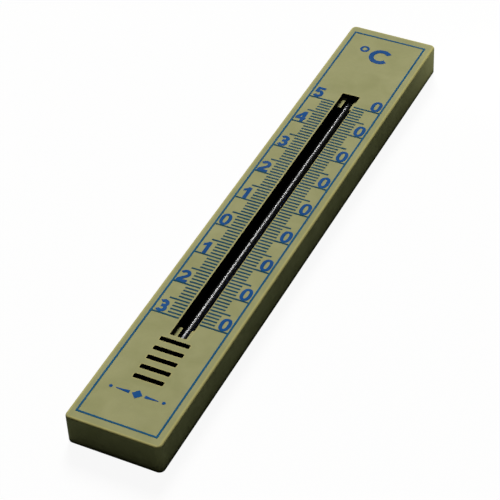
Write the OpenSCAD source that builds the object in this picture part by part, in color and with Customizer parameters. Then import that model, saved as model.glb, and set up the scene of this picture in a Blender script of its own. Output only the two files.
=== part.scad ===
// Wall thermometer: a slim moulded casing with a glass spirit tube behind a long window,
// louvres over the bulb and a printed Celsius scale.
// It lies on its back. X runs across it, Y runs up the scale and Z comes out of the face.
// The origin is the middle of the back, and every length is in millimetres.

/* [Casing] */
// Length of the casing along the scale
case_l = 200; // [190:1:260]
// Width of the casing
case_w = 30.6; // [29:0.1:40]
// Depth of the casing from its back to its face
case_d = 10.6; // [10.4:0.1:16]
// Radius of the four upright corners
corner_r = 1.8; // [1.2:0.1:3]
// Rounding of the edge round the face
edge_r = 0.7; // [0.3:0.1:1]
// Thickness of the side walls
wall_t = 2; // [1.8:0.1:2.6]
// Thickness of the face
face_t = 1.8; // [1.4:0.1:2.2]

/* [Window] */
// Width of the window in front of the tube
window_w = 6.1; // [5.6:0.1:8]
// Window beyond the highest mark of the scale
window_above = 5.6; // [5.5:0.1:8]
// Window below the lowest mark of the scale
window_below = 6.9; // [6:0.1:8]
// Thickness of the collar round the window, behind the face
collar_t = 1.1; // [0.8:0.1:1.4]
// Reach of the collar behind the face
collar_reach = 1.6; // [1:0.1:2.4]
// Gap between the two ledges that keep the tube in
keeper_gap = 3; // [2.4:0.1:3.6]
// Length of each ledge, from the end of the window
keeper_l = 5.4; // [4:0.1:7]
// Thickness of each ledge
keeper_t = 1; // [0.8:0.1:1.4]

/* [Louvres] */
// Number of louvres over the bulb
louvre_n = 5; // [3:1:6]
// Width of a louvre
louvre_w = 9.7; // [8:0.1:13]
// Height of a louvre
louvre_h = 1.7; // [1:0.1:2.2]
// Distance from one louvre to the next
louvre_pitch = 4.02; // [3.6:0.01:4.4]
// Distance from the window to the middle of the first louvre
louvre_first = 2.4; // [2.3:0.1:3]
// Radius of a louvre's corners
louvre_r = 0.35; // [0.2:0.05:0.6]

/* [Glass tube] */
// Outer radius of the glass stem
stem_r = 2.2; // [1.8:0.05:2.7]
// Radius of the bore that the spirit rises in
bore_r = 0.25; // [0.2:0.01:0.35]
// Radius of the relief chamber at the top of the bore
relief_r = 0.8; // [0.5:0.1:1]
// Stem beyond the window, under the face
stem_beyond = 6; // [5.5:0.1:8]
// Bulb radius over the stem's
bulb_over = 0.3; // [0.1:0.05:0.4]
// Glass thickness of the bulb
bulb_t = 0.5; // [0.4:0.05:0.7]
// Length of the bulb
bulb_l = 17; // [14:0.5:20]
// Gap between the spirit and the glass, so that they stay separate solids
film = 0.02; // [0.01:0.005:0.03]
// Length of the top of the spirit thread, which carries the meniscus
head_l = 4; // [2:0.5:8]

/* [Back plate] */
// Thickness of the back plate
plate_t = 1.6; // [1.2:0.1:2]
// Recess of the back plate below the casing's rim
plate_recess = 0.3; // [0.2:0.05:0.5]
// Depth of the step in the wall that the back plate sits on
step_d = 0.9; // [0.6:0.1:1.1]
// Clearance round the back plate, its latches and the glass
fit_gap = 0.1; // [0.05:0.01:0.15]
// Length of a saddle under the tube
saddle_l = 4; // [3:0.5:5]
// Width of a saddle under the tube
saddle_w = 8; // [7:0.5:9]
// Radius of the keyhole's round end, for the head of a nail
hang_r = 3.5; // [3:0.1:4.5]
// Half the width of the keyhole's slot, for the shank of a nail
hang_slot_r = 1.8; // [1.5:0.1:2.2]
// Length of the keyhole's slot from the middle of its round end
hang_slot_l = 7; // [6:0.5:9]
// Distance from the top of the casing to the middle of the keyhole's round end
hang_from_top = 20; // [17:0.5:24]
// Length of a latch along the wall
latch_l = 6; // [4:0.5:10]
// Height of a latch above the back plate
latch_h = 4; // [3.5:0.1:5]

/* [Scale] */
// Lowest temperature on the scale, in degrees Celsius
scale_low = -30; // [-30:10:-20]
// Highest temperature on the scale, in degrees Celsius
scale_high = 50; // [40:10:50]
// Temperature that the thread stands at, in degrees Celsius
reading = 20; // [-20:1:40]
// Distance between two degrees
degree = 1.385; // [1.1:0.005:1.5]
// Distance of the zero mark below the middle of the casing
zero_below = 11.1; // [8:0.1:14]
// Gap between the window and the marks
mark_gap = 0.35; // [0.3:0.05:1]
// Length of the mark for each degree
degree_mark_l = 4.3; // [3:0.1:5]
// Length of the mark for each five degrees
five_mark_l = 6.6; // [5:0.1:8]
// Stroke of the marks
mark_stroke = 0.6; // [0.3:0.05:0.8]
// Thickness of the printed ink
ink_t = 0.05; // [0.03:0.01:0.1]
// Inset of the printed border from the sides
border_inset = 2.6; // [2:0.1:3]
// Inset of the printed border from the top and bottom
border_end_inset = 3.5; // [2.5:0.1:4]
// Stroke of the printed border
border_stroke = 0.65; // [0.4:0.05:1]
// Shift of the whole print across the face
print_shift = -0.2; // [-0.3:0.05:0.3]

/* [Lettering] */
// Height of a figure
figure_h = 5.3; // [4.5:0.1:6]
// Width of a figure
figure_w = 3.5; // [3:0.1:4]
// Stroke of a figure
figure_stroke = 1.15; // [0.7:0.05:1.3]
// Gap between a figure and the border
figure_gap = 0.3; // [0.2:0.05:0.6]
// Height of the letter C
letter_h = 7.8; // [6:0.1:9]
// Width of the letter C
letter_w = 7; // [5.5:0.1:8]
// Stroke of the letter C
letter_stroke = 1.7; // [1.2:0.1:2]
// Radius of the degree ring
ring_r = 1.65; // [1.2:0.05:2]
// Distance from the top of the casing to the top of the letter C
letter_from_top = 9.5; // [8:0.1:12]
// Distance from the bottom of the casing to the middle of the ornament
ornament_from_bottom = 15.6; // [14:0.1:18]
// Width of the ornament
ornament_w = 18; // [12:0.5:22]

/* [Hidden] */
$fn = 64;
eps = 0.01;

// Places along the scale and the window
function at_degree(t) = t * degree - zero_below;
window_top = at_degree(scale_high) + window_above;
window_bottom = at_degree(scale_low) - window_below;
window_l = window_top - window_bottom;
window_y = (window_top + window_bottom) / 2;
louvre_y = window_bottom - louvre_first;

// Inside of the casing
inner_w = case_w - 2 * wall_t;
inner_l = case_l - 2 * wall_t;
inner_r = max(corner_r - wall_t, 0.6);
ceiling_z = case_d - face_t;
plate_top = plate_recess + plate_t;

// The tube rests under the ledges, and its bulb clears the face
bulb_r = stem_r + bulb_over;
keeper_z = ceiling_z - keeper_t;
under_keepers = keeper_z - sqrt(pow(stem_r, 2) - pow(keeper_gap / 2, 2));
tube_z = min(under_keepers, ceiling_z - bulb_r) - fit_gap;
stem_top = window_top + stem_beyond;
past_collar = 0.6;
top_saddle_y = window_top + stem_beyond / 2 + past_collar;
stem_bottom = window_bottom - louvre_first;
bulb_bottom = stem_bottom - bulb_l;
chamber_r = bulb_r - bulb_t;
neck_l = 2;
neck_y = stem_bottom - neck_l;
relief_l = 3;
meniscus_y = at_degree(reading);
head_bottom = meniscus_y - head_l;
thread_r = bore_r - film;

// Printing
border_x = case_w / 2 - border_inset;
border_y = case_l / 2 - border_end_inset;
mark_x = window_w / 2 + mark_gap;
figure_x = border_x - border_stroke / 2 - figure_gap - figure_w / 2;
letter_top = case_l / 2 - letter_from_top;
letter_shift = 0.3;
ring_gap = 1.05;
letter_left = letter_shift - letter_w / 2;
ring_x = letter_left - ring_r - ring_gap;
ornament_y = -case_l / 2 + ornament_from_bottom;

// Latches along each side wall
latch_places = [-0.36, 0, 0.36] * case_l;
latch_t = 1;
hook_d = 0.5;
hook_h = 1.2;
pocket_d = hook_d + 2 * fit_gap;

// ---- Shapes ----

// A rectangle with round corners
module round_rect(w, l, r) {
    square([w - 2 * r, l], center = true);
    square([w, l - 2 * r], center = true);
    for (x = [-1, 1], y = [-1, 1])
        translate([x * (w / 2 - r), y * (l / 2 - r)]) circle(r);
}

// Section of the casing's edge, half as wide as given, with its upper outer corner rounded
module edge_profile(half, h, r) {
    square([half, h - r]);
    square([half - r, h]);
    translate([half - r, h - r]) circle(r);
}

// A block with round upright corners and a rounded edge round its top
module rounded_block(w, l, h, r, e) {
    rotate([90, 0, 0]) linear_extrude(l - 2 * r, center = true)
        for (side = [0, 1]) mirror([side, 0]) edge_profile(w / 2, h, e);
    rotate([90, 0, 90]) linear_extrude(w - 2 * r, center = true)
        for (side = [0, 1]) mirror([side, 0]) edge_profile(l / 2, h, e);
    for (x = [-1, 1], y = [-1, 1])
        translate([x * (w / 2 - r), y * (l / 2 - r), 0]) rotate_extrude() edge_profile(r, h, e);
}

// What is turned about the tube's axis: the profile's Y becomes the place along the scale
module on_tube() {
    translate([0, 0, tube_z]) rotate([-90, 0, 0]) rotate_extrude() children();
}

// Turned part of the profile, from the axis outwards
module right_half(y0, y1) {
    intersection() {
        children();
        translate([0, y0]) square([2 * bulb_r, y1 - y0]);
    }
}

// A layer of ink on the face
module ink() {
    translate([print_shift, 0, case_d]) linear_extrude(ink_t) children();
}

// ---- Lettering: each figure stands on the origin, centred across ----

// Points along an arc, from one angle to another
function arc(c, rx, ry, from, to, n = 14) =
    [for (i = [0:n]) let (a = from + (to - from) * i / n) [c[0] + rx * cos(a), c[1] + ry * sin(a)]];

function unit(v) = v / norm(v);
function turned(v) = [-v[1], v[0]];

// Point i of a path, moved sideways to the edge of its stroke
function beside(path, i, d) =
    let (n = len(path) - 1,
         before = turned(unit(path[max(i, 1)] - path[max(i, 1) - 1])),
         after = turned(unit(path[min(i, n - 1) + 1] - path[min(i, n - 1)])),
         m = before + after)
    path[i] + m * (2 * d / (m * m));

// A line of even width along a path
module stroke(path, w) {
    n = len(path) - 1;
    polygon([for (i = [0:n]) beside(path, i, w / 2), for (i = [n:-1:0]) beside(path, i, -w / 2)]);
}

// Outline of an upright oval with full shoulders
function full(v) = sign(v) * pow(abs(v), 0.84);
function oval_points(rx, ry, n = 44) =
    [for (i = [0:n - 1]) [rx * full(cos(i * 360 / n)), ry * full(sin(i * 360 / n))]];

// A nought: an upright ring, a little thinner at its top and bottom
module nought(w, h, s) {
    translate([0, h / 2]) difference() {
        polygon(oval_points(w / 2, h / 2));
        polygon(oval_points(w / 2 - s, h / 2 - s * 0.85));
    }
}

module figure_one(w, h, s) {
    square([s * 1.1, h]);
    polygon([[s, h], [s * 0.35, h], [-w * 0.32, h * 0.78], [-w * 0.32, h * 0.6], [s, h * 0.78]]);
}

module figure_two(w, h, s) {
    rx = (w - s) / 2;
    translate([-w / 2, 0]) square([w, s]);
    stroke(concat(arc([0, h - s / 2 - rx], rx, rx, 165, -30), [[-rx - s * 0.14, s * 0.62]]), s);
}

module figure_three(w, h, s) {
    rx = (w - s) / 2;
    upper = (h - s) * 0.235;
    lower = (h - s) / 2 - upper;
    stroke(arc([-rx * 0.06, h - s / 2 - upper], rx * 0.92, upper, 150, -90), s);
    stroke(arc([0, s / 2 + lower], rx, lower, 90, -150), s);
    translate([-w * 0.15, h / 2 + lower - upper - s / 2]) square([w * 0.2, s]);
}

module figure_four(w, h, s) {
    translate([w * 0.06, 0]) square([s, h]);
    translate([-w / 2, h * 0.22]) square([w, s * 0.9]);
    polygon([[w * 0.06, h], [w * 0.06 + s * 0.3, h], [w * 0.06 + s * 0.3, h - s * 1.2],
             [-w / 2 + s * 1.05, h * 0.22 + s * 0.8], [-w / 2, h * 0.22 + s * 0.4],
             [-w / 2, h * 0.22 + s * 0.9]]);
}

module figure_five(w, h, s) {
    rx = (w - s) / 2;
    ry = h * 0.245;
    translate([-w * 0.36, h - s * 0.95]) square([w * 0.8, s * 0.95]);
    polygon([[-w * 0.36, h], [-w * 0.36 + s * 0.9, h], [-w * 0.4 + s * 0.9, h * 0.52],
             [-w * 0.44, h * 0.47]]);
    stroke(arc([0, s / 2 + ry], rx, ry, 142, -152), s);
}

// The tens figure for a temperature, without its sign
module tens_figure(t) {
    tens = abs(t) / 10;
    if (tens == 0) nought(figure_w, figure_h, figure_stroke);
    if (tens == 1) figure_one(figure_w, figure_h, figure_stroke);
    if (tens == 2) figure_two(figure_w, figure_h, figure_stroke);
    if (tens == 3) figure_three(figure_w, figure_h, figure_stroke);
    if (tens == 4) figure_four(figure_w, figure_h, figure_stroke);
    if (tens == 5) figure_five(figure_w, figure_h, figure_stroke);
}

// A pair of marks, one on each side of the window
module mark_pair(t, reach) {
    for (side = [-1, 1])
        translate([side * (mark_x + reach / 2), at_degree(t)])
            square([reach, mark_stroke], center = true);
}

// ---- Moulded casing ----

// Moulded shell with the face, the side walls, the window's collar and the louvres
module front_housing() {
    color("#9b9b6e") difference() {
        union() {
            difference() {
                rounded_block(case_w, case_l, case_d, corner_r, edge_r);
                translate([0, 0, -1]) linear_extrude(ceiling_z + 1)
                    round_rect(inner_w, inner_l, inner_r);
                back_step();
            }
            window_collar();
            face_ribs();
        }
        window_hole();
        tube_notches();
        louvres();
        latch_pockets();
    }
    color("#9b9b6e") tube_keepers();
}

// Step inside the rim, where the back plate sits
module back_step() {
    translate([0, 0, -1]) linear_extrude(plate_top + 1)
        round_rect(inner_w + 2 * step_d, inner_l + 2 * step_d, inner_r);
}

// Wall behind the face, all round the window
module window_collar() {
    translate([0, window_y, ceiling_z - collar_reach])
        linear_extrude(collar_reach + eps)
            square([window_w + 2 * collar_t, window_l + 2 * collar_t], center = true);
}

module window_hole() {
    translate([0, window_y, case_d / 2])
        linear_extrude(case_d)
            square([window_w, window_l], center = true);
}

// The stem passes under the face through a notch at each end of the collar
module tube_notches() {
    notch_w = 2 * (stem_r + 3 * fit_gap);
    notch_l = 2 * collar_t + 1;
    for (y = [window_top, window_bottom])
        translate([-notch_w / 2, y - notch_l / 2, 0]) cube([notch_w, notch_l, ceiling_z]);
}

// Two ledges at each end of the window, running out from under the face: they keep the tube in
module tube_keepers() {
    ledge_w = (window_w - keeper_gap) / 2;
    for (side = [-1, 1], y = [window_bottom - collar_t, window_top - keeper_l])
        translate([side * (keeper_gap / 2 + ledge_w / 2) - ledge_w / 2, y, keeper_z])
            cube([ledge_w, keeper_l + collar_t, keeper_t]);
}

module louvres() {
    for (i = [0:louvre_n - 1])
        translate([0, louvre_y - i * louvre_pitch, ceiling_z - 1])
            linear_extrude(face_t + 2) round_rect(louvre_w, louvre_h, louvre_r);
}

// Cross ribs that stiffen the face
module face_ribs() {
    rib_t = 1;
    rib_h = 1.6;
    rib_l = (inner_w - window_w) / 2 - collar_t + 2 * eps;
    for (side = [-1, 1], y = [-0.3, -0.1, 0.1, 0.3] * window_l)
        translate([side * (inner_w / 2 - rib_l / 2 + eps) - rib_l / 2, window_y + y - rib_t / 2,
                   ceiling_z - rib_h])
            cube([rib_l, rib_t, rib_h + eps]);
}

// Hollows in the side walls that the latches spring into
module latch_pockets() {
    for (side = [-1, 1], y = latch_places)
        translate([side * inner_w / 2 - (pocket_d), y - latch_l / 2 - 2 * fit_gap,
                   plate_top + latch_h - hook_h - 2 * fit_gap])
            cube([2 * pocket_d, latch_l + 4 * fit_gap, hook_h + 4 * fit_gap]);
}

// Plate that closes the back, with the tube's saddles, the latches and the keyhole
module back_plate() {
    color("#1b1b1a") difference() {
        translate([0, 0, plate_recess]) linear_extrude(plate_t)
            round_rect(inner_w + 2 * step_d - 2 * fit_gap, inner_l + 2 * step_d - 2 * fit_gap,
                       inner_r);
        keyhole();
    }
    color("#1b1b1a") {
        saddle(window_top - keeper_l / 2, stem_r);
        saddle(window_bottom + keeper_l / 2, stem_r);
        saddle(top_saddle_y, stem_r);
        saddle(bulb_bottom + bulb_l / 4, bulb_r);
        for (side = [0, 1], y = latch_places)
            mirror([side, 0, 0]) translate([0, y, 0]) latch();
    }
}

// Keyhole for a nail: a round end for its head and a slot above for its shank
module keyhole() {
    y = case_l / 2 - hang_from_top;
    translate([0, y, -eps]) {
        cylinder(h = plate_top + 1, r = hang_r);
        translate([-hang_slot_r, 0, 0]) cube([2 * hang_slot_r, hang_slot_l, plate_top + 1]);
        translate([0, hang_slot_l, 0]) cylinder(h = plate_top + 1, r = hang_slot_r);
    }
}

// Block with a round groove that the glass lies in
module saddle(y, r) {
    top = tube_z - r * 0.3;
    difference() {
        translate([-saddle_w / 2, y - saddle_l / 2, plate_top - eps])
            cube([saddle_w, saddle_l, top - plate_top + eps]);
        translate([0, y, tube_z]) rotate([90, 0, 0])
            cylinder(h = saddle_l + 1, r = r + fit_gap, center = true);
    }
}

// Springy tongue on the right-hand edge of the plate, with a hook near its top
module latch() {
    outer = inner_w / 2 - fit_gap;
    top = plate_top + latch_h;
    rotate([90, 0, 0]) linear_extrude(latch_l, center = true)
        polygon([[outer - latch_t, plate_top - eps], [outer, plate_top - eps],
                 [outer, top - hook_h], [outer + hook_d, top - hook_h],
                 [outer + hook_d * 0.2, top], [outer - latch_t, top]]);
}

// ---- Glass tube and its spirit ----

// Capillary stem, with a fine bore and a relief chamber near its round top
module glass_stem() {
    dome = stem_top - stem_r;
    relief_y = stem_top - stem_r - relief_l;
    color("#dfe8ea", 0.4) on_tube() difference() {
        union() {
            translate([0, stem_bottom]) square([stem_r, dome - stem_bottom]);
            right_half(dome, stem_top) translate([0, dome]) circle(stem_r);
        }
        translate([0, stem_bottom - 1]) square([bore_r, relief_y - stem_bottom + 1]);
        translate([0, relief_y]) square([relief_r, relief_l - relief_r]);
        right_half(relief_y, stem_top) translate([0, relief_y + relief_l - relief_r])
            circle(relief_r);
    }
}

// Thin-walled bulb, fused to the bottom of the stem
module glass_bulb() {
    color("#dfe8ea", 0.4) on_tube() difference() {
        bulb_outline(bulb_r, bulb_bottom, stem_r);
        bulb_outline(chamber_r, bulb_bottom + bulb_t, bore_r);
        translate([0, neck_y - 1]) square([bore_r, neck_l + 2]);
    }
}

// Half outline of the bulb or of its chamber: a round bottom, a straight side and a sloping neck
module bulb_outline(r, bottom, neck) {
    shoulder = neck_y - 1;
    polygon(concat([[0, bottom]], arc([0, bottom + r], r, r, -90, 0, 12),
                   [[r, shoulder], [neck, neck_y + (neck > bore_r ? neck_l : 0)],
                    [0, neck_y + (neck > bore_r ? neck_l : 0)]]));
}

// Spirit that fills the bulb, up to the bottom of the bore
module bulb_spirit() {
    color("#12305f") on_tube()
        bulb_outline(chamber_r - film, bulb_bottom + bulb_t + film, bore_r - film);
}

// Spirit in the bore, from the bulb up to the moving top of the thread
module spirit_thread() {
    color("#12305f") on_tube()
        translate([0, neck_y]) square([thread_r, head_bottom - neck_y]);
}

// Top of the thread: it rises and falls, and its surface dips in the middle
module spirit_head() {
    color("#12305f") on_tube() difference() {
        translate([0, head_bottom]) square([thread_r, head_l]);
        translate([0, meniscus_y + thread_r * 0.75]) circle(thread_r * 1.25);
    }
}

// Adhesive on both sides of the stem, which fixes it to its top saddle once the scale is set
module fixing_bead() {
    rise = 0.8;
    swell = 1.6;
    bead_top = min(ceiling_z - fit_gap, tube_z + stem_r * 0.6);
    saddle_top = tube_z - stem_r * 0.3;
    color("#d8c88a") difference() {
        translate([0, top_saddle_y, tube_z]) rotate([-90, 0, 0])
            rotate_extrude() intersection() {
                translate([stem_r + rise - swell, 0]) circle(swell);
                translate([stem_r, -saddle_l / 2]) square([rise, saddle_l]);
            }
        translate([-saddle_w, 0, saddle_top - case_d]) cube([2 * saddle_w, case_l, case_d]);
        translate([-saddle_w, 0, bead_top]) cube([2 * saddle_w, case_l, case_d]);
    }
}

// ---- Printing on the face ----

module print_border() {
    color("#0a4f9c") ink() difference() {
        square([2 * border_x + border_stroke, 2 * border_y + border_stroke], center = true);
        square([2 * border_x - border_stroke, 2 * border_y - border_stroke], center = true);
    }
}

module print_degree_marks() {
    color("#0a4f9c") ink()
        for (t = [scale_low:scale_high])
            if (t % 5 != 0) mark_pair(t, degree_mark_l);
}

module print_five_marks() {
    color("#0a4f9c") ink()
        for (t = [scale_low + 5:10:scale_high]) mark_pair(t, five_mark_l);
}

// The lines for each ten degrees run up to the border
module print_ten_lines() {
    reach = border_x - border_stroke / 2 - mark_x - eps;
    color("#0a4f9c") ink()
        for (t = [scale_low:10:scale_high]) mark_pair(t, reach);
}

// Figures left of the window stand on their ten-degree line
module print_tens_figures() {
    color("#0a4f9c") ink()
        for (t = [scale_low:10:scale_high])
            translate([-figure_x, at_degree(t) + mark_stroke / 2 + eps]) tens_figure(t);
}

module print_zero_figures() {
    color("#0a4f9c") ink()
        for (t = [scale_low:10:scale_high])
            translate([figure_x, at_degree(t) + mark_stroke / 2 + eps])
                nought(figure_w, figure_h, figure_stroke);
}

module print_degree_ring() {
    color("#0a4f9c") ink() translate([ring_x, letter_top - ring_r]) difference() {
        circle(ring_r);
        circle(ring_r / 2);
    }
}

module print_letter_c() {
    opening = 38;
    rx = letter_w / (1 + cos(opening)) - letter_stroke / 2;
    ry = (letter_h - letter_stroke) / 2;
    color("#0a4f9c") ink() translate([letter_left + rx + letter_stroke / 2, letter_top - letter_h / 2])
        stroke(arc([0, 0], rx, ry, opening, 360 - opening, 40), letter_stroke);
}

// Plain ornament: a diamond between two tapering bars and two dots
module print_ornament() {
    gem = 1.7;
    dot_r = 0.55;
    color("#0a4f9c") ink() translate([0, ornament_y]) {
        polygon([[-gem, 0], [0, gem], [gem, 0], [0, -gem]]);
        for (side = [-1, 1]) {
            polygon([[side * (gem + 0.8), 0.55], [side * (gem + 0.8), -0.55],
                     [side * (ornament_w / 2 - 2.2), -0.15], [side * (ornament_w / 2 - 2.2), 0.15]]);
            translate([side * (ornament_w / 2 - dot_r), 0]) circle(dot_r);
        }
    }
}

front_housing();
back_plate();
glass_stem();
glass_bulb();
bulb_spirit();
spirit_thread();
spirit_head();
fixing_bead();
print_border();
print_degree_marks();
print_five_marks();
print_ten_lines();
print_tens_figures();
print_zero_figures();
print_degree_ring();
print_letter_c();
print_ornament();
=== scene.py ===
# %% [markdown]
# # A slim wall thermometer
# The object is a moulded plastic case, about 200 mm long, with a glass spirit tube behind a long window.
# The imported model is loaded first, as a fixed frame: every length and every place below is read from it,
# so that a finished piece can't drift away from the part that it stands for.

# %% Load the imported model
import math

import bmesh
import bpy
from mathutils import Matrix, Vector


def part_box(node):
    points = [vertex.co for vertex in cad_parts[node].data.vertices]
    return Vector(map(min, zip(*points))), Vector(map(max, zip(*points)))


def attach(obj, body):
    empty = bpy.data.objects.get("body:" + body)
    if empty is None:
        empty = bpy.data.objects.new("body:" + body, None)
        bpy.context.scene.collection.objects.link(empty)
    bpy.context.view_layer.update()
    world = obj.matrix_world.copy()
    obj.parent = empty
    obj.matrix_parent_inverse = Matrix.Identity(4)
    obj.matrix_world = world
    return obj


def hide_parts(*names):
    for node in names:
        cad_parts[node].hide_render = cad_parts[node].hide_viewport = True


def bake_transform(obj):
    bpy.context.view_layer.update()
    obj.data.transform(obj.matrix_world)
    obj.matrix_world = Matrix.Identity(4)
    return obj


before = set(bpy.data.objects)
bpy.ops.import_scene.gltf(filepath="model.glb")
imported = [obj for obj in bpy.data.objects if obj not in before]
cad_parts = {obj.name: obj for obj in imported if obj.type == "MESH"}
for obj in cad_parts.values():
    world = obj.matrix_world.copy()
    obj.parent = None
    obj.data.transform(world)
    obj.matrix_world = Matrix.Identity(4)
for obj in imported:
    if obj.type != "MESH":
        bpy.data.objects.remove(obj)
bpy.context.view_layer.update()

MM = 0.001
scene = bpy.context.scene

# %% [markdown]
# ## Camera
# A long lens from above the lower right corner keeps the sides of the case nearly parallel, as in a
# catalogue picture. A look-at constraint would be an easy way to aim it. Typed angles are used here, because
# they hold the small roll as well.

# %% Make the camera
lens = bpy.data.cameras.new("camera")
lens.lens, lens.sensor_width = 139.12, 36
lens.clip_start, lens.clip_end = 0.01, 30
camera = bpy.data.objects.new("camera", lens)
camera.location = Vector((206.8, -398.38, 404.71)) * MM
camera.rotation_euler = [math.radians(a) for a in (47.579, 2.366, 26.067)]
scene.collection.objects.link(camera)
scene.camera = camera
print("the camera stands", round(camera.location.length / MM), "mm away")

# %% [markdown]
# ## Node helpers
# A material is a small graph of nodes. Typing each node and each link takes many lines, so these helpers
# keep the materials short enough to read: one makes a node and sets its sockets, and the others link
# the usual arithmetic.

# %% Make nodes and link them
def node(tree, kind, inputs=(), **settings):
    made = tree.nodes.new("ShaderNode" + kind)
    for key, value in settings.items():
        setattr(made, key, value)
    for key, value in dict(inputs).items():
        if isinstance(value, bpy.types.NodeSocket):
            tree.links.new(value, made.inputs[key])
        else:
            made.inputs[key].default_value = value
    return made


def math_node(tree, operation, *values):
    return node(tree, "Math", dict(enumerate(values)), operation=operation).outputs[0]


def spread(tree, value, low, high, to_low=0.0, to_high=1.0):
    sockets = {"Value": value, "From Min": low, "From Max": high, "To Min": to_low, "To Max": to_high}
    return node(tree, "MapRange", sockets, clamp=True).outputs["Result"]


def mixed(tree, factor, first, second):
    """A Mix node has sockets for each kind of data. Inputs 6 and 7 and output 2 are those for colours."""
    return node(tree, "Mix", {0: factor, 6: first, 7: second}, data_type="RGBA").outputs[2]


# %% Start a group with named sockets
def new_group(name, inputs, outputs):
    tree = bpy.data.node_groups.new(name, "ShaderNodeTree")
    for label, kind, value in inputs:
        socket = tree.interface.new_socket(label, in_out="INPUT", socket_type="NodeSocket" + kind)
        if value is not None:
            socket.default_value = value
    for label in outputs:
        tree.interface.new_socket(label, in_out="OUTPUT", socket_type="NodeSocketFloat")
    return tree, tree.nodes.new("NodeGroupInput"), tree.nodes.new("NodeGroupOutput")


def use_group(tree, group, inputs):
    return node(tree, "Group", inputs, node_tree=group).outputs


# %% [markdown]
# ## Shared effect: the texture of a moulded surface
# A steel mould is spark-eroded, so the plastic that comes out of it is covered with a fine, even grain, and
# its colour is never perfectly mixed. Grain, soft clouds and a few dark specks are made once here, because
# the casing, the back and the ink all need them, each with its own values.

# %% Group: moulded texture
moulded, g_in, g_out = new_group(
    "moulded_texture",
    [("Coordinates", "Vector", None), ("Grain Scale", "Float", 6000.0), ("Cloud Scale", "Float", 120.0),
     ("Speck Scale", "Float", 260.0)],
    ["Grain", "Clouds", "Specks"])
place = g_in.outputs["Coordinates"]
grain = node(moulded, "TexNoise", {"Vector": place, "Scale": g_in.outputs["Grain Scale"], "Detail": 2.0,
                                   "Roughness": 0.6})
clouds = node(moulded, "TexNoise", {"Vector": place, "Scale": g_in.outputs["Cloud Scale"], "Detail": 4.0,
                                    "Roughness": 0.55, "Distortion": 0.4})
cells = node(moulded, "TexVoronoi", {"Vector": place, "Scale": g_in.outputs["Speck Scale"],
                                     "Randomness": 1.0})
chosen = spread(moulded, cells.outputs["Color"], 0.93, 0.95)
dots = spread(moulded, cells.outputs["Distance"], 0.16, 0.06)
moulded.links.new(grain.outputs["Fac"], g_out.inputs["Grain"])
moulded.links.new(spread(moulded, clouds.outputs["Fac"], 0.3, 0.7), g_out.inputs["Clouds"])
moulded.links.new(math_node(moulded, "MULTIPLY", chosen, dots), g_out.inputs["Specks"])
print("moulded_texture has", len(moulded.nodes), "nodes")

# %% [markdown]
# ## Shared effect: edges and corners
# An outside edge is made lighter, partly as wear from hands and partly as a painted highlight where a rounded
# edge catches the light, and an inside corner is made darker as painted shade. Painting both by hand would be
# slow. A Bevel node finds the edges instead, because it tilts the normal there, and an Ambient Occlusion node
# finds the corners that little light reaches, for the painted shade.

# %% Group: edge wear with painted edge highlight, and painted corner shade
edge_light_shade_group, g_in, g_out = new_group(
    "edge_wear_highlight_and_corner_shade",
    [("Coordinates", "Vector", None), ("Width", "Float", 0.3 * MM), ("Shade Reach", "Float", 1.0 * MM)],
    ["Edge", "Shaded Corner"])
rounded = node(edge_light_shade_group, "Bevel", {"Radius": g_in.outputs["Width"]}, samples=6)
flat = node(edge_light_shade_group, "NewGeometry")
dot = node(edge_light_shade_group, "VectorMath", {0: rounded.outputs["Normal"], 1: flat.outputs["Normal"]},
           operation="DOT_PRODUCT").outputs["Value"]
# Ambient Occlusion gives the corner mask: painted shade where little light reaches.
shade = node(edge_light_shade_group, "AmbientOcclusion", {"Distance": g_in.outputs["Shade Reach"]}, samples=6, only_local=True)
corner_shade_mask = spread(edge_light_shade_group, shade.outputs["AO"], 0.8, 0.35)
ragged = node(edge_light_shade_group, "TexNoise", {"Vector": g_in.outputs["Coordinates"], "Scale": 900.0, "Detail": 3.0})
# The edge mask: partly wear, partly a painted highlight on rounded edges.
edge = math_node(edge_light_shade_group, "MULTIPLY", spread(edge_light_shade_group, dot, 0.995, 0.9),
                 spread(edge_light_shade_group, ragged.outputs["Fac"], 0.3, 0.6, 0.45, 1.0))
outside = math_node(edge_light_shade_group, "MULTIPLY", edge, math_node(edge_light_shade_group, "SUBTRACT", 1.0, corner_shade_mask))
edge_light_shade_group.links.new(outside, g_out.inputs["Edge"])
edge_light_shade_group.links.new(corner_shade_mask, g_out.inputs["Shaded Corner"])
print("edge_wear_highlight_and_corner_shade has", len(edge_light_shade_group.nodes), "nodes")

# %% [markdown]
# ## Shared effect: marks of handling
# A thermometer is touched, wiped and dusted for years. Fingers leave soft shiny patches, and a cloth leaves
# hair-fine scratches, mostly along the case. Both only need masks, which each material then uses as it likes.

# %% Group: handling marks
handled, g_in, g_out = new_group(
    "handling_marks", [("Coordinates", "Vector", None), ("Patch Scale", "Float", 45.0)],
    ["Patches", "Scratches"])
patches = node(handled, "TexNoise", {"Vector": g_in.outputs["Coordinates"],
                                     "Scale": g_in.outputs["Patch Scale"], "Detail": 5.0,
                                     "Roughness": 0.6, "Distortion": 1.2})
lines = []
for turn, across in ((0.35, 5200.0), (-0.6, 4300.0)):
    along = node(handled, "Mapping", {"Vector": g_in.outputs["Coordinates"], "Rotation": (0.0, 0.0, turn),
                                      "Scale": (across, 60.0, 900.0)})
    hair = node(handled, "TexNoise", {"Vector": along.outputs["Vector"], "Scale": 1.0, "Detail": 0.0})
    lines.append(spread(handled, hair.outputs["Fac"], 0.70, 0.78))
scratches = math_node(handled, "MAXIMUM", *lines)
rubbed = spread(handled, patches.outputs["Fac"], 0.45, 0.62)
handled.links.new(rubbed, g_out.inputs["Patches"])
handled.links.new(math_node(handled, "MULTIPLY", scratches, rubbed), g_out.inputs["Scratches"])
print("handling_marks has", len(handled.nodes), "nodes")


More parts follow.
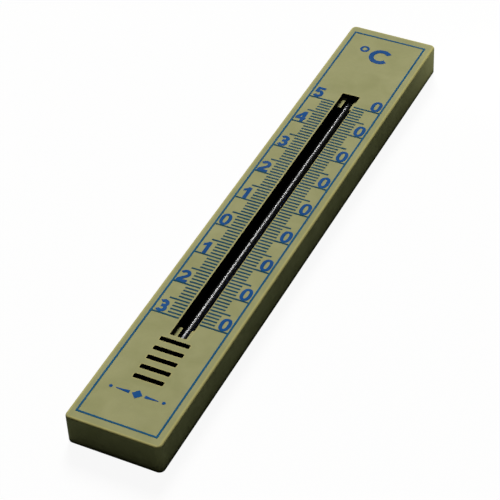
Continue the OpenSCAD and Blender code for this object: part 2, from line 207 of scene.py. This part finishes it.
# %% Start a material from object coordinates
def new_material(name, **sockets):
    made = bpy.data.materials.new(name)
    made.use_nodes = True
    tree = made.node_tree
    shader = tree.nodes["Principled BSDF"]
    for key, value in sockets.items():
        shader.inputs[key.replace("_", " ")].default_value = value
    place = node(tree, "TexCoord").outputs["Object"]
    return made, tree, shader, place


def bump(tree, shader, height, strength, distance):
    made = node(tree, "Bump", {"Height": height, "Strength": strength, "Distance": distance})
    tree.links.new(made.outputs["Normal"], shader.inputs["Normal"])


def tone(red, green, blue):
    """A colour as a screen shows it, from 0 to 255, turned into the linear values of the sRGB standard."""
    return [((c / 255 + 0.055) / 1.055) ** 2.4 if c > 10 else c / 255 / 12.92
            for c in (red, green, blue)] + [1.0]


# %% [markdown]
# ## Finish: olive beige plastic
# The casing is through-coloured plastic with a satin grain. One flat colour would look like paint, so three
# close tones are mixed by the clouds, the specks darken it here and there, the edges go lighter, partly as
# wear and partly as a painted highlight, the inside corners go darker as painted shade, and the rubbed
# patches are a little shinier. Two more masks paint light and shade: a painted highlight makes a band round
# the edge of the face pale, and a painted shade makes the walls darker towards the foot. The inside faces are
# near black, partly as painted shade for the dark inside of the window and the louvres, and partly as a
# guessed black inside, so that nothing shows behind the tube. The shell's mesh says which faces are inside,
# in an attribute.

# %% Material: casing plastic
casing_low, casing_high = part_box("front_housing")
casing_plastic, tree, shader, place = new_material("casing_plastic", Specular_IOR_Level=0.12, IOR=1.5)
texture = use_group(tree, moulded, {"Coordinates": place, "Grain Scale": 5200.0, "Cloud Scale": 110.0,
                                    "Speck Scale": 170.0})
edge_wear_light_and_shade = use_group(tree, edge_light_shade_group, {"Coordinates": place, "Width": 0.9 * MM, "Shade Reach": 1.2 * MM})
marks = use_group(tree, handled, {"Coordinates": place, "Patch Scale": 42.0})
colour = mixed(tree, texture["Clouds"], tone(151, 151, 103), tone(163, 162, 115))
colour = mixed(tree, math_node(tree, "MULTIPLY", texture["Specks"], 0.55), colour, tone(88, 82, 52))
colour = mixed(tree, math_node(tree, "MULTIPLY", marks["Patches"], 0.12), colour, tone(140, 137, 92))
# Painted highlight and wear: the edges are made lighter.
colour = mixed(tree, math_node(tree, "MULTIPLY", edge_wear_light_and_shade["Edge"], 0.6), colour, tone(192, 180, 112))
# Painted shade: the inside corners are made darker.
colour = mixed(tree, math_node(tree, "MULTIPLY", edge_wear_light_and_shade["Shaded Corner"], 0.35), colour, tone(70, 66, 40))
across, along, height = node(tree, "SeparateXYZ", {"Vector": place}).outputs
# Painted highlight: a pale band round the edge of the face, over its rounding and the top of the walls.
rim_starts, rim_full = 1.1 * MM, 0.5 * MM
rim_depth, rim_top, rim_strength = 0.45 * MM, 0.1 * MM, 0.6
# Painted shade: the case is made darker towards its foot, where it stands on the floor.
foot_full, foot_ends, foot_strength = 0.6 * MM, 2.2 * MM, 0.8
beside = spread(tree, math_node(tree, "ABSOLUTE", across),
                casing_high.x - rim_starts, casing_high.x - rim_full)
beyond = spread(tree, math_node(tree, "ABSOLUTE", along),
                casing_high.y - rim_starts, casing_high.y - rim_full)
rim_highlight = math_node(tree, "MULTIPLY", math_node(tree, "MAXIMUM", beside, beyond),
                spread(tree, height, casing_high.z - rim_depth, casing_high.z - rim_top, 0.0, rim_strength))
colour = mixed(tree, rim_highlight, colour, tone(196, 186, 112))
foot_shade = spread(tree, height, foot_full, foot_ends, foot_strength, 0.0)
colour = mixed(tree, foot_shade, colour, tone(60, 66, 30))
# Partly painted shade, partly a guessed black inside: the faces marked inside are made near black.
inside = node(tree, "Attribute", attribute_name="inside").outputs["Fac"]
inside_black_and_shade = mixed(tree, texture["Clouds"], tone(14, 13, 10), tone(21, 20, 15))
colour = mixed(tree, inside, colour, inside_black_and_shade)
tree.links.new(colour, shader.inputs["Base Color"])
rough = spread(tree, texture["Grain"], 0.3, 0.7, 0.62, 0.74)
rough = math_node(tree, "SUBTRACT", rough, math_node(tree, "MULTIPLY", marks["Patches"], 0.08))
tree.links.new(rough, shader.inputs["Roughness"])
height = math_node(tree, "SUBTRACT", texture["Grain"], math_node(tree, "MULTIPLY", marks["Scratches"], 0.5))
bump(tree, shader, height, 0.25, 0.04 * MM)
print("casing_plastic has", len(tree.nodes), "nodes")

# %% [markdown]
# ## Finish: black plastic
# The back plate isn't meant to be seen, so it is a coarser, cheaper black moulding. The same groups are used
# with a bigger grain, and its edges and scratches are a lighter grey.

# %% Material: back plastic
back_plastic, tree, shader, place = new_material("back_plastic", Specular_IOR_Level=0.25, IOR=1.5)
texture = use_group(tree, moulded, {"Coordinates": place, "Grain Scale": 3600.0, "Cloud Scale": 90.0,
                                    "Speck Scale": 300.0})
edge_wear_light_and_shade = use_group(tree, edge_light_shade_group, {"Coordinates": place, "Width": 0.3 * MM, "Shade Reach": 0.8 * MM})
marks = use_group(tree, handled, {"Coordinates": place, "Patch Scale": 60.0})
colour = mixed(tree, texture["Clouds"], tone(17, 17, 16), tone(23, 23, 21))
colour = mixed(tree, math_node(tree, "MULTIPLY", marks["Scratches"], 0.4), colour, tone(60, 59, 55))
colour = mixed(tree, math_node(tree, "MULTIPLY", edge_wear_light_and_shade["Edge"], 0.4), colour, tone(58, 57, 54))
tree.links.new(colour, shader.inputs["Base Color"])
tree.links.new(spread(tree, texture["Grain"], 0.3, 0.7, 0.5, 0.68), shader.inputs["Roughness"])
bump(tree, shader, texture["Grain"], 0.4, 0.06 * MM)
print("back_plastic has", len(tree.nodes), "nodes")

# %% [markdown]
# ## Finish: printed ink
# The scale is one thin layer of blue ink on the face, a little uneven, with tiny gaps where the casing's tone
# shows through. The real ink is one colour. Here it is three finishes from one function: the thin lines are a
# little greener than the figures, and the border is the palest.

# %% Material: scale ink, and the same ink in thin lines
def printed_ink(name, first, second, bare):
    made, tree, shader, place = new_material(name, Specular_IOR_Level=0.1, IOR=1.5)
    texture = use_group(tree, moulded, {"Coordinates": place, "Grain Scale": 4200.0, "Cloud Scale": 160.0,
                                        "Speck Scale": 900.0})
    marks = use_group(tree, handled, {"Coordinates": place, "Patch Scale": 80.0})
    colour = mixed(tree, texture["Clouds"], first, second)
    thin = spread(tree, texture["Grain"], 0.62, 0.8, 0.0, bare)
    colour = mixed(tree, thin, colour, tone(70, 110, 130))
    colour = mixed(tree, math_node(tree, "MULTIPLY", texture["Specks"], 0.6), colour, tone(140, 140, 100))
    tree.links.new(colour, shader.inputs["Base Color"])
    tree.links.new(spread(tree, marks["Patches"], 0.0, 1.0, 0.68, 0.58), shader.inputs["Roughness"])
    bump(tree, shader, texture["Grain"], 0.3, 0.03 * MM)
    print(name, "has", len(tree.nodes), "nodes")
    return made


scale_ink = printed_ink("scale_ink", tone(0, 68, 130), tone(2, 78, 142), 0.7)
line_ink = printed_ink("line_ink", tone(0, 64, 86), tone(2, 72, 94), 0.4)
border_ink = printed_ink("border_ink", tone(10, 80, 116), tone(18, 90, 126), 0.6)

# %% [markdown]
# ## Finish: drawn glass
# A capillary is drawn from a molten blank, which leaves faint streaks along it. They are far too fine to
# model, so a noise stretched along the tube changes its roughness, and the rubbed patches dull it very
# slightly. Two chosen values stand in for real glass. The body bends light far less than
# glass does, and a coat with the strength of glass is laid on the outer skin only, for the line of light
# down the tube. The mesh says which faces are the outer skin.

# %% Material: drawn glass
GLASS_IOR = 1.5
BODY_IOR = 1.1
drawn_glass, tree, shader, place = new_material("drawn_glass", Transmission_Weight=1.0, IOR=BODY_IOR,
                                                Coat_Roughness=0.26, Coat_IOR=GLASS_IOR,
                                                Base_Color=(0.97, 0.985, 0.98, 1.0))
marks = use_group(tree, handled, {"Coordinates": place, "Patch Scale": 120.0})
stretched = node(tree, "Mapping", {"Vector": place, "Scale": (2600.0, 25.0, 2600.0)})
streaks = node(tree, "TexNoise", {"Vector": stretched.outputs["Vector"], "Scale": 1.0, "Detail": 2.0})
rough = spread(tree, streaks.outputs["Fac"], 0.35, 0.65, 0.03, 0.06)
rough = math_node(tree, "ADD", rough, math_node(tree, "MULTIPLY", marks["Patches"], 0.03))
tree.links.new(rough, shader.inputs["Roughness"])
skin = node(tree, "Attribute", attribute_name="outer_skin").outputs["Fac"]
inner_side = node(tree, "NewGeometry").outputs["Backfacing"]
coat = math_node(tree, "MULTIPLY", skin, math_node(tree, "SUBTRACT", 1.0, inner_side))
tree.links.new(coat, shader.inputs["Coat Weight"])
print("drawn_glass has", len(tree.nodes), "nodes")

# %% [markdown]
# ## Finish: dyed spirit
# The liquid is taken to be alcohol with a strong dark blue dye. In so fine a bore it looks almost opaque, so
# a glossy dark surface is enough, with the dye a little uneven along its length.

# %% Material: dyed spirit
dyed_spirit, tree, shader, place = new_material("dyed_spirit", IOR=1.36, Roughness=0.06)
uneven = node(tree, "TexNoise", {"Vector": place, "Scale": 220.0, "Detail": 3.0})
colour = mixed(tree, spread(tree, uneven.outputs["Fac"], 0.35, 0.65), tone(14, 38, 88), tone(22, 54, 116))
tree.links.new(colour, shader.inputs["Base Color"])
print("dyed_spirit has", len(tree.nodes), "nodes")

# %% [markdown]
# ## Finish: set adhesive
# Two drops of adhesive hold the tube once the scale is right. Set adhesive is amber, glossy and full of small
# bubbles, so a cell pattern dents it, and its colour goes from pale to brown.

# %% Material: set adhesive
set_adhesive, tree, shader, place = new_material("set_adhesive", Coat_Weight=0.5, IOR=1.5)
uneven = node(tree, "TexNoise", {"Vector": place, "Scale": 700.0, "Detail": 3.0})
bubbles = node(tree, "TexVoronoi", {"Vector": place, "Scale": 1900.0})
clouded = spread(tree, uneven.outputs["Fac"], 0.35, 0.65)
colour = mixed(tree, clouded, tone(196, 172, 112), tone(168, 132, 70))
tree.links.new(colour, shader.inputs["Base Color"])
tree.links.new(spread(tree, uneven.outputs["Fac"], 0.3, 0.7, 0.2, 0.34), shader.inputs["Roughness"])
bump(tree, shader, spread(tree, bubbles.outputs["Distance"], 0.0, 0.35), 0.4, 0.05 * MM)
print("set_adhesive has", len(tree.nodes), "nodes")


# %% [markdown]
# ## Turning a shape into a finished piece
# Every piece ends the same way: its faces are shaded smooth except over hard edges, the mesh becomes an
# object at the origin, the object is hung under an empty for the body it rides on, if it has one, and the
# imported parts that it stands for are hidden.

# %% Finish a piece
def finish_piece(name, shape, material, body, stands_for, hard=40.0):
    for edge in shape.edges:
        edge.smooth = len(edge.link_faces) == 2 and edge.calc_face_angle(0.0) < math.radians(hard)
    for face in shape.faces:
        face.smooth = True
    mesh = bpy.data.meshes.new(name)
    shape.to_mesh(mesh)
    shape.free()
    mesh.materials.append(material)
    piece = bpy.data.objects.new(name, mesh)
    scene.collection.objects.link(piece)
    if body:
        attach(piece, body)
    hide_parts(*stands_for)
    size = [round(s / MM, 2) for s in piece.dimensions]
    print(name, "is", size, "mm with", len(mesh.polygons), "faces")
    return piece


def even_shading(piece):
    """Flat faces keep their own direction, so that only the narrow rounding beside them is shaded round."""
    weights = piece.modifiers.new("even_shading", "WEIGHTED_NORMAL")
    weights.keep_sharp, weights.weight = True, 60


# %% [markdown]
# ## The moulded shell
# The front of the case is one injection moulding: face, walls, window, louvres and the ledges that keep the
# tube in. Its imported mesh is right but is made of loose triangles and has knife-sharp holes, which a mould
# can't make. A copy is merged, its flat faces are joined up, and its edges are then rounded by a bevel, more
# along the foot than round the face and the window.

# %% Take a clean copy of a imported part
def clean_copy(part):
    shape = bmesh.new()
    shape.from_mesh(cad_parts[part].data)
    bmesh.ops.remove_doubles(shape, verts=shape.verts, dist=0.001 * MM)
    bmesh.ops.dissolve_limit(shape, angle_limit=math.radians(0.4), verts=shape.verts, edges=shape.edges)
    return shape


def outer_edges(shape, low, high, sharper_than=60.0):
    """The outside edges of a shape whose two ends both lie between two heights."""
    return [e for e in shape.edges
            if len(e.link_faces) == 2 and e.is_convex
            and e.calc_face_angle(0.0) > math.radians(sharper_than)
            and all(low <= v.co.z <= high for v in e.verts)]


def round_off(shape, edges, width, segments):
    bmesh.ops.bevel(shape, geom=edges, offset=width, offset_type="OFFSET", segments=segments, profile=0.5,
                    affect="EDGES", clamp_overlap=True, material=-1)
    print("rounded", len(edges), "edges by", round(width / MM, 2), "mm")


# %% Round the shell's edges
LEVEL = 0.01 * MM
FACE_ROUND, FOOT_ROUND, PLATE_ROUND = 0.18 * MM, 0.45 * MM, 0.12 * MM
outline_band = 0.6 * MM
shell = clean_copy("front_housing")
round_off(shell, outer_edges(shell, casing_high.z - LEVEL, casing_high.z), FACE_ROUND, 3)
foot_edges = [e for e in outer_edges(shell, casing_low.z, casing_low.z + LEVEL)
              if any(abs(v.co.x) > casing_high.x - outline_band or abs(v.co.y) > casing_high.y - outline_band
                     for v in e.verts)]
round_off(shell, foot_edges, FOOT_ROUND, 3)

# %% Say which faces of the shell are black
# The faces marked inside here are painted near black, partly as painted shade.
inside = shell.faces.layers.float.new("inside")
skin = 1.0 * MM
top_band = 0.12 * MM
ledge_low = casing_high.z - 4.0 * MM
for face in shell.faces:
    middle = face.calc_center_median()
    on_wall = abs(middle.x) > casing_high.x - skin or abs(middle.y) > casing_high.y - skin
    on_top = middle.z > casing_high.z - top_band
    on_ledge = middle.z > ledge_low and face.normal.z > 0.5 and not on_top
    face[inside] = 0.0 if on_wall or on_top or on_ledge else 1.0
print(sum(f[inside] > 0.5 for f in shell.faces), "of", len(shell.faces), "faces are inside")
front_shell = finish_piece("front_shell", shell, casing_plastic, "casing", ["front_housing"])
even_shading(front_shell)

# %% [markdown]
# ## The back plate
# The back is a second moulding that snaps into the shell. It could stay as packed, but its edges would look
# cut with a knife too, so it gets the same treatment with a smaller radius. Its shape and colour are guessed.

# %% Round the back plate's edges
plate_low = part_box("back_plate")[0]
plate = clean_copy("back_plate")
round_off(plate, outer_edges(plate, plate_low.z, plate_low.z + LEVEL), PLATE_ROUND, 2)
rear_cover = finish_piece("rear_cover", plate, back_plastic, "casing", ["back_plate"])
even_shading(rear_cover)

# %% [markdown]
# ## The glass tube
# In such a thermometer the stem and the bulb are one piece of glass, fused at the neck. A closed outer skin
# and a closed inner skin, both spun round the same axis, make a wall with a hollow in it. Spinning a profile
# is the natural way to make anything that is drawn or blown.

# %% Spin a profile round the tube's axis
stem_low, stem_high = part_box("glass_stem")
bulb_low, bulb_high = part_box("glass_bulb")
thread_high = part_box("spirit_thread")[1]
head_low, head_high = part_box("spirit_head")
liquid_low, liquid_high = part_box("bulb_spirit")
axis_z = (stem_low.z + stem_high.z) / 2
stem_r = (stem_high.x - stem_low.x) / 2
bulb_r = (bulb_high.x - bulb_low.x) / 2


def spin_profile(shape, profile, steps=64):
    """profile lists (place along the tube, radius). Its ends lie on the axis, so the skin is closed."""
    verts = [shape.verts.new((radius, y, axis_z)) for y, radius in profile]
    edges = [shape.edges.new(pair) for pair in zip(verts, verts[1:])]
    bmesh.ops.spin(shape, geom=verts + edges, cent=(0, 0, axis_z), axis=(0, 1, 0), dvec=(0, 0, 0),
                   angle=math.tau, steps=steps, use_merge=True, use_duplicate=False)
    bmesh.ops.remove_doubles(shape, verts=shape.verts, dist=0.0005 * MM)
    print("spun a profile of", len(profile), "points")


def quarter(y, radius, start, end, steps=10):
    """Points on an arc about a point of the axis, for a round end. Angles are in degrees from the tube."""
    angles = [math.radians(start + (end - start) * i / steps) for i in range(steps + 1)]
    return [(y + radius * math.cos(a), max(radius * math.sin(a), 0.0)) for a in angles]


# %% Profile of the glass
bore_r = 0.25 * MM
relief_r = 0.8 * MM
relief_length = 3.0 * MM
bulb_wall = 0.5 * MM
relief_low = stem_high.y - stem_r - relief_length
neck_y = liquid_high.y
shoulder_y = neck_y - 1.0 * MM
chamber_r = bulb_r - bulb_wall
chamber_low = bulb_low.y + bulb_wall
outer_skin = (quarter(bulb_low.y + bulb_r, bulb_r, 180, 90) + [(shoulder_y - 1.2 * MM, bulb_r),
              (shoulder_y, bulb_r - 0.06 * MM), (neck_y + 0.6 * MM, stem_r + 0.12 * MM),
              (neck_y + 1.6 * MM, stem_r)] + quarter(stem_high.y - stem_r, stem_r, 90, 0))
inner_skin = (quarter(chamber_low + chamber_r, chamber_r, 180, 90) + [(shoulder_y, chamber_r),
              (neck_y - 0.2 * MM, bore_r * 1.6), (neck_y + 0.4 * MM, bore_r),
              (relief_low, bore_r), (relief_low + 0.5 * MM, relief_r * 0.8),
              (relief_low + 1.0 * MM, relief_r)]
              + quarter(relief_low + relief_length - relief_r, relief_r, 90, 0))
tube = bmesh.new()
spin_profile(tube, outer_skin)
bmesh.ops.recalc_face_normals(tube, faces=tube.faces)
outer_skin_mark = tube.faces.layers.float.new("outer_skin")
for face in tube.faces:
    face[outer_skin_mark] = 1.0
hollow = bmesh.new()
spin_profile(hollow, inner_skin, 32)
bmesh.ops.recalc_face_normals(hollow, faces=hollow.faces)
bmesh.ops.reverse_faces(hollow, faces=hollow.faces)
hollow_mesh = bpy.data.meshes.new("hollow")
hollow.to_mesh(hollow_mesh)
hollow.free()
tube.from_mesh(hollow_mesh)
bpy.data.meshes.remove(hollow_mesh)
finish_piece("glass_tube", tube, drawn_glass, "casing", ["glass_stem", "glass_bulb"], hard=60.0)

# %% [markdown]
# ## The spirit
# The liquid is three pieces, because it moves: the bulb is always full, the thread stretches, and its top
# rises and falls with the temperature. The thread is hung under no body here, and its place is baked into its
# mesh. It has rings all along it, so that it could grow or shrink instead of sliding out of the bulb.

# %% Spin the liquid
film = 0.02 * MM
liquid_r = chamber_r - film
liquid = bmesh.new()
spin_profile(liquid, quarter(liquid_low.y + liquid_r, liquid_r, 180, 90)
             + [(shoulder_y, liquid_r), (neck_y - 0.3 * MM, 0.3 * MM), (liquid_high.y, 0.0)])
bmesh.ops.recalc_face_normals(liquid, faces=liquid.faces)
finish_piece("bulb_filling", liquid, dyed_spirit, "casing", ["bulb_spirit"])

thread_r = (head_high.x - head_low.x) / 2
root_y = liquid_low.y + liquid_r
rings = 60
along = [(root_y + (thread_high.y - root_y) * i / rings, thread_r) for i in range(rings + 1)]
column = bmesh.new()
spin_profile(column, [(root_y, 0.0)] + along + [(thread_high.y, 0.0)], 16)
bmesh.ops.recalc_face_normals(column, faces=column.faces)
spirit_column = finish_piece("spirit_column", column, dyed_spirit, None, ["spirit_thread"])
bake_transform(spirit_column)

# %% Spin the top of the thread, with its dip
dip_depth = 0.115 * MM
dip = [(head_high.y - dip_depth * (1 - (i / 6) ** 2), thread_r * i / 6) for i in range(6, -1, -1)]
top = bmesh.new()
spin_profile(top, [(head_low.y, 0.0), (head_low.y, thread_r)] + dip, 16)
bmesh.ops.recalc_face_normals(top, faces=top.faces)
finish_piece("spirit_meniscus", top, dyed_spirit, "spirit_top", ["spirit_head"])

# %% [markdown]
# ## The adhesive
# The two drops lie in the corner between the glass and the top saddle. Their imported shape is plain, so a
# copy is divided and smoothed, until it looks like something that was once liquid.

# %% Soften the drops
drops = clean_copy("fixing_bead")
bmesh.ops.triangulate(drops, faces=drops.faces)
bmesh.ops.subdivide_edges(drops, edges=drops.edges, cuts=1, use_grid_fill=True)
bmesh.ops.smooth_vert(drops, verts=drops.verts, factor=0.5,
                      use_axis_x=True, use_axis_y=True, use_axis_z=True)
finish_piece("adhesive_drops", drops, set_adhesive, "casing", ["fixing_bead"], hard=70.0)

# %% [markdown]
# ## The printed scale
# The printed shapes are already right, down to the thickness of the ink, so they stay as packed and only get
# their finish.

# %% Ink the printed parts
printed = [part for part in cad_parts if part.startswith("print_")]
for part in printed:
    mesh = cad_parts[part].data
    mesh.materials.clear()
    if part == "print_border":
        mesh.materials.append(border_ink)
    elif part.endswith(("_marks", "_lines")):
        mesh.materials.append(line_ink)
    else:
        mesh.materials.append(scale_ink)
print("inked", len(printed), "printed parts")

# %% [markdown]
# ## Floor and light
# A soft box behind the left shoulder of the case lights the face and leaves the near sides dark. It is hidden
# from reflections. A narrow strip beside it is seen only in reflections, and draws one bright line down the
# glass. Neither could be built in a real studio. The floor and the room behind it are bright only to the
# camera and send back little light, so the dark sides stay dark.

# %% Lay the floor
floor_finish = bpy.data.materials.new("floor_finish")
floor_finish.use_nodes = True
tree = floor_finish.node_tree
tree.nodes.remove(tree.nodes["Principled BSDF"])
seen = node(tree, "LightPath").outputs["Is Camera Ray"]
glow = node(tree, "Emission", {"Color": (1.0, 1.0, 1.0, 1.0), "Strength": 0.93})
matt = node(tree, "BsdfDiffuse", {"Color": (0.07, 0.07, 0.07, 1.0)})
pale = node(tree, "AddShader", {0: glow.outputs[0], 1: matt.outputs[0]})
dim = node(tree, "BsdfDiffuse", {"Color": (0.205, 0.23, 0.2, 1.0)})
choice = node(tree, "MixShader", {0: seen, 1: dim.outputs[0], 2: pale.outputs[0]})
tree.links.new(choice.outputs[0], tree.nodes["Material Output"].inputs["Surface"])
sheet = bmesh.new()
bmesh.ops.create_grid(sheet, x_segments=8, y_segments=8, size=6.0)
bmesh.ops.translate(sheet, verts=sheet.verts, vec=(0, 0, casing_low.z - 0.02 * MM))
floor_mesh = bpy.data.meshes.new("floor")
sheet.to_mesh(floor_mesh)
sheet.free()
floor_mesh.materials.append(floor_finish)
floor = bpy.data.objects.new("floor", floor_mesh)
scene.collection.objects.link(floor)

# %% Light the room
world = bpy.data.worlds.new("room")
world.use_nodes = True
tree = world.node_tree
seen = node(tree, "LightPath").outputs["Is Camera Ray"]
far_wall = node(tree, "Background", {"Color": (1.0, 1.0, 1.0, 1.0), "Strength": 1.0})
fill = node(tree, "Background", {"Color": (1.0, 1.0, 0.97, 1.0), "Strength": 0.03})
choice = node(tree, "MixShader", {0: seen, 1: fill.outputs[0], 2: far_wall.outputs[0]})
tree.nodes.remove(tree.nodes["Background"])
tree.links.new(choice.outputs[0], tree.nodes["World Output"].inputs["Surface"])
scene.world = world


# %% Aim an area lamp at the thermometer
def hang_lamp(name, direction, metres, width, height, hidden_from):
    """hidden_from lists the two kinds of ray that pass the lamp by."""
    lamp = bpy.data.lights.new(name, "AREA")
    lamp.shape, lamp.size, lamp.size_y = "RECTANGLE", width, height
    hung = bpy.data.objects.new(name, lamp)
    toward = Vector(direction).normalized()
    turned = toward.to_track_quat("Z", "Y").to_matrix().to_4x4()
    hung.matrix_world = Matrix.Translation(toward * metres) @ turned
    for kind in hidden_from:
        setattr(hung, "visible_" + kind, False)
    scene.collection.objects.link(hung)
    return lamp


softbox = hang_lamp("softbox", (-0.276, 0.638, 0.719), 5.0, 1.5, 1.8, ("glossy", "transmission"))
softbox.energy = 293.0
softbox.color = (1.0, 0.995, 0.97)

# %% A narrow strip draws the line of light down the glass
STRIP_RADIANCE = 9.5
glint = hang_lamp("glint", (-0.453, 0.659, 0.599), 2.0, 0.55, 1.6, ("diffuse", "transmission"))
glint.energy = STRIP_RADIANCE * math.pi * glint.size * glint.size_y

# %% A weak hidden lamp lights the side near the top, as a white card there might
card = bpy.data.lights.new("card", "POINT")
card.energy, card.shadow_soft_size = 0.006, 5 * MM
card.color = (1.0, 0.99, 0.9)
card_lamp = bpy.data.objects.new("card", card)
card_lamp.location = Vector((34.0, 106.0, 13.0)) * MM
card_lamp.visible_camera = False
card_lamp.visible_glossy = False
scene.collection.objects.link(card_lamp)
scene.view_settings.view_transform = "Standard"
print("the softbox gives", round(softbox.energy), "W")
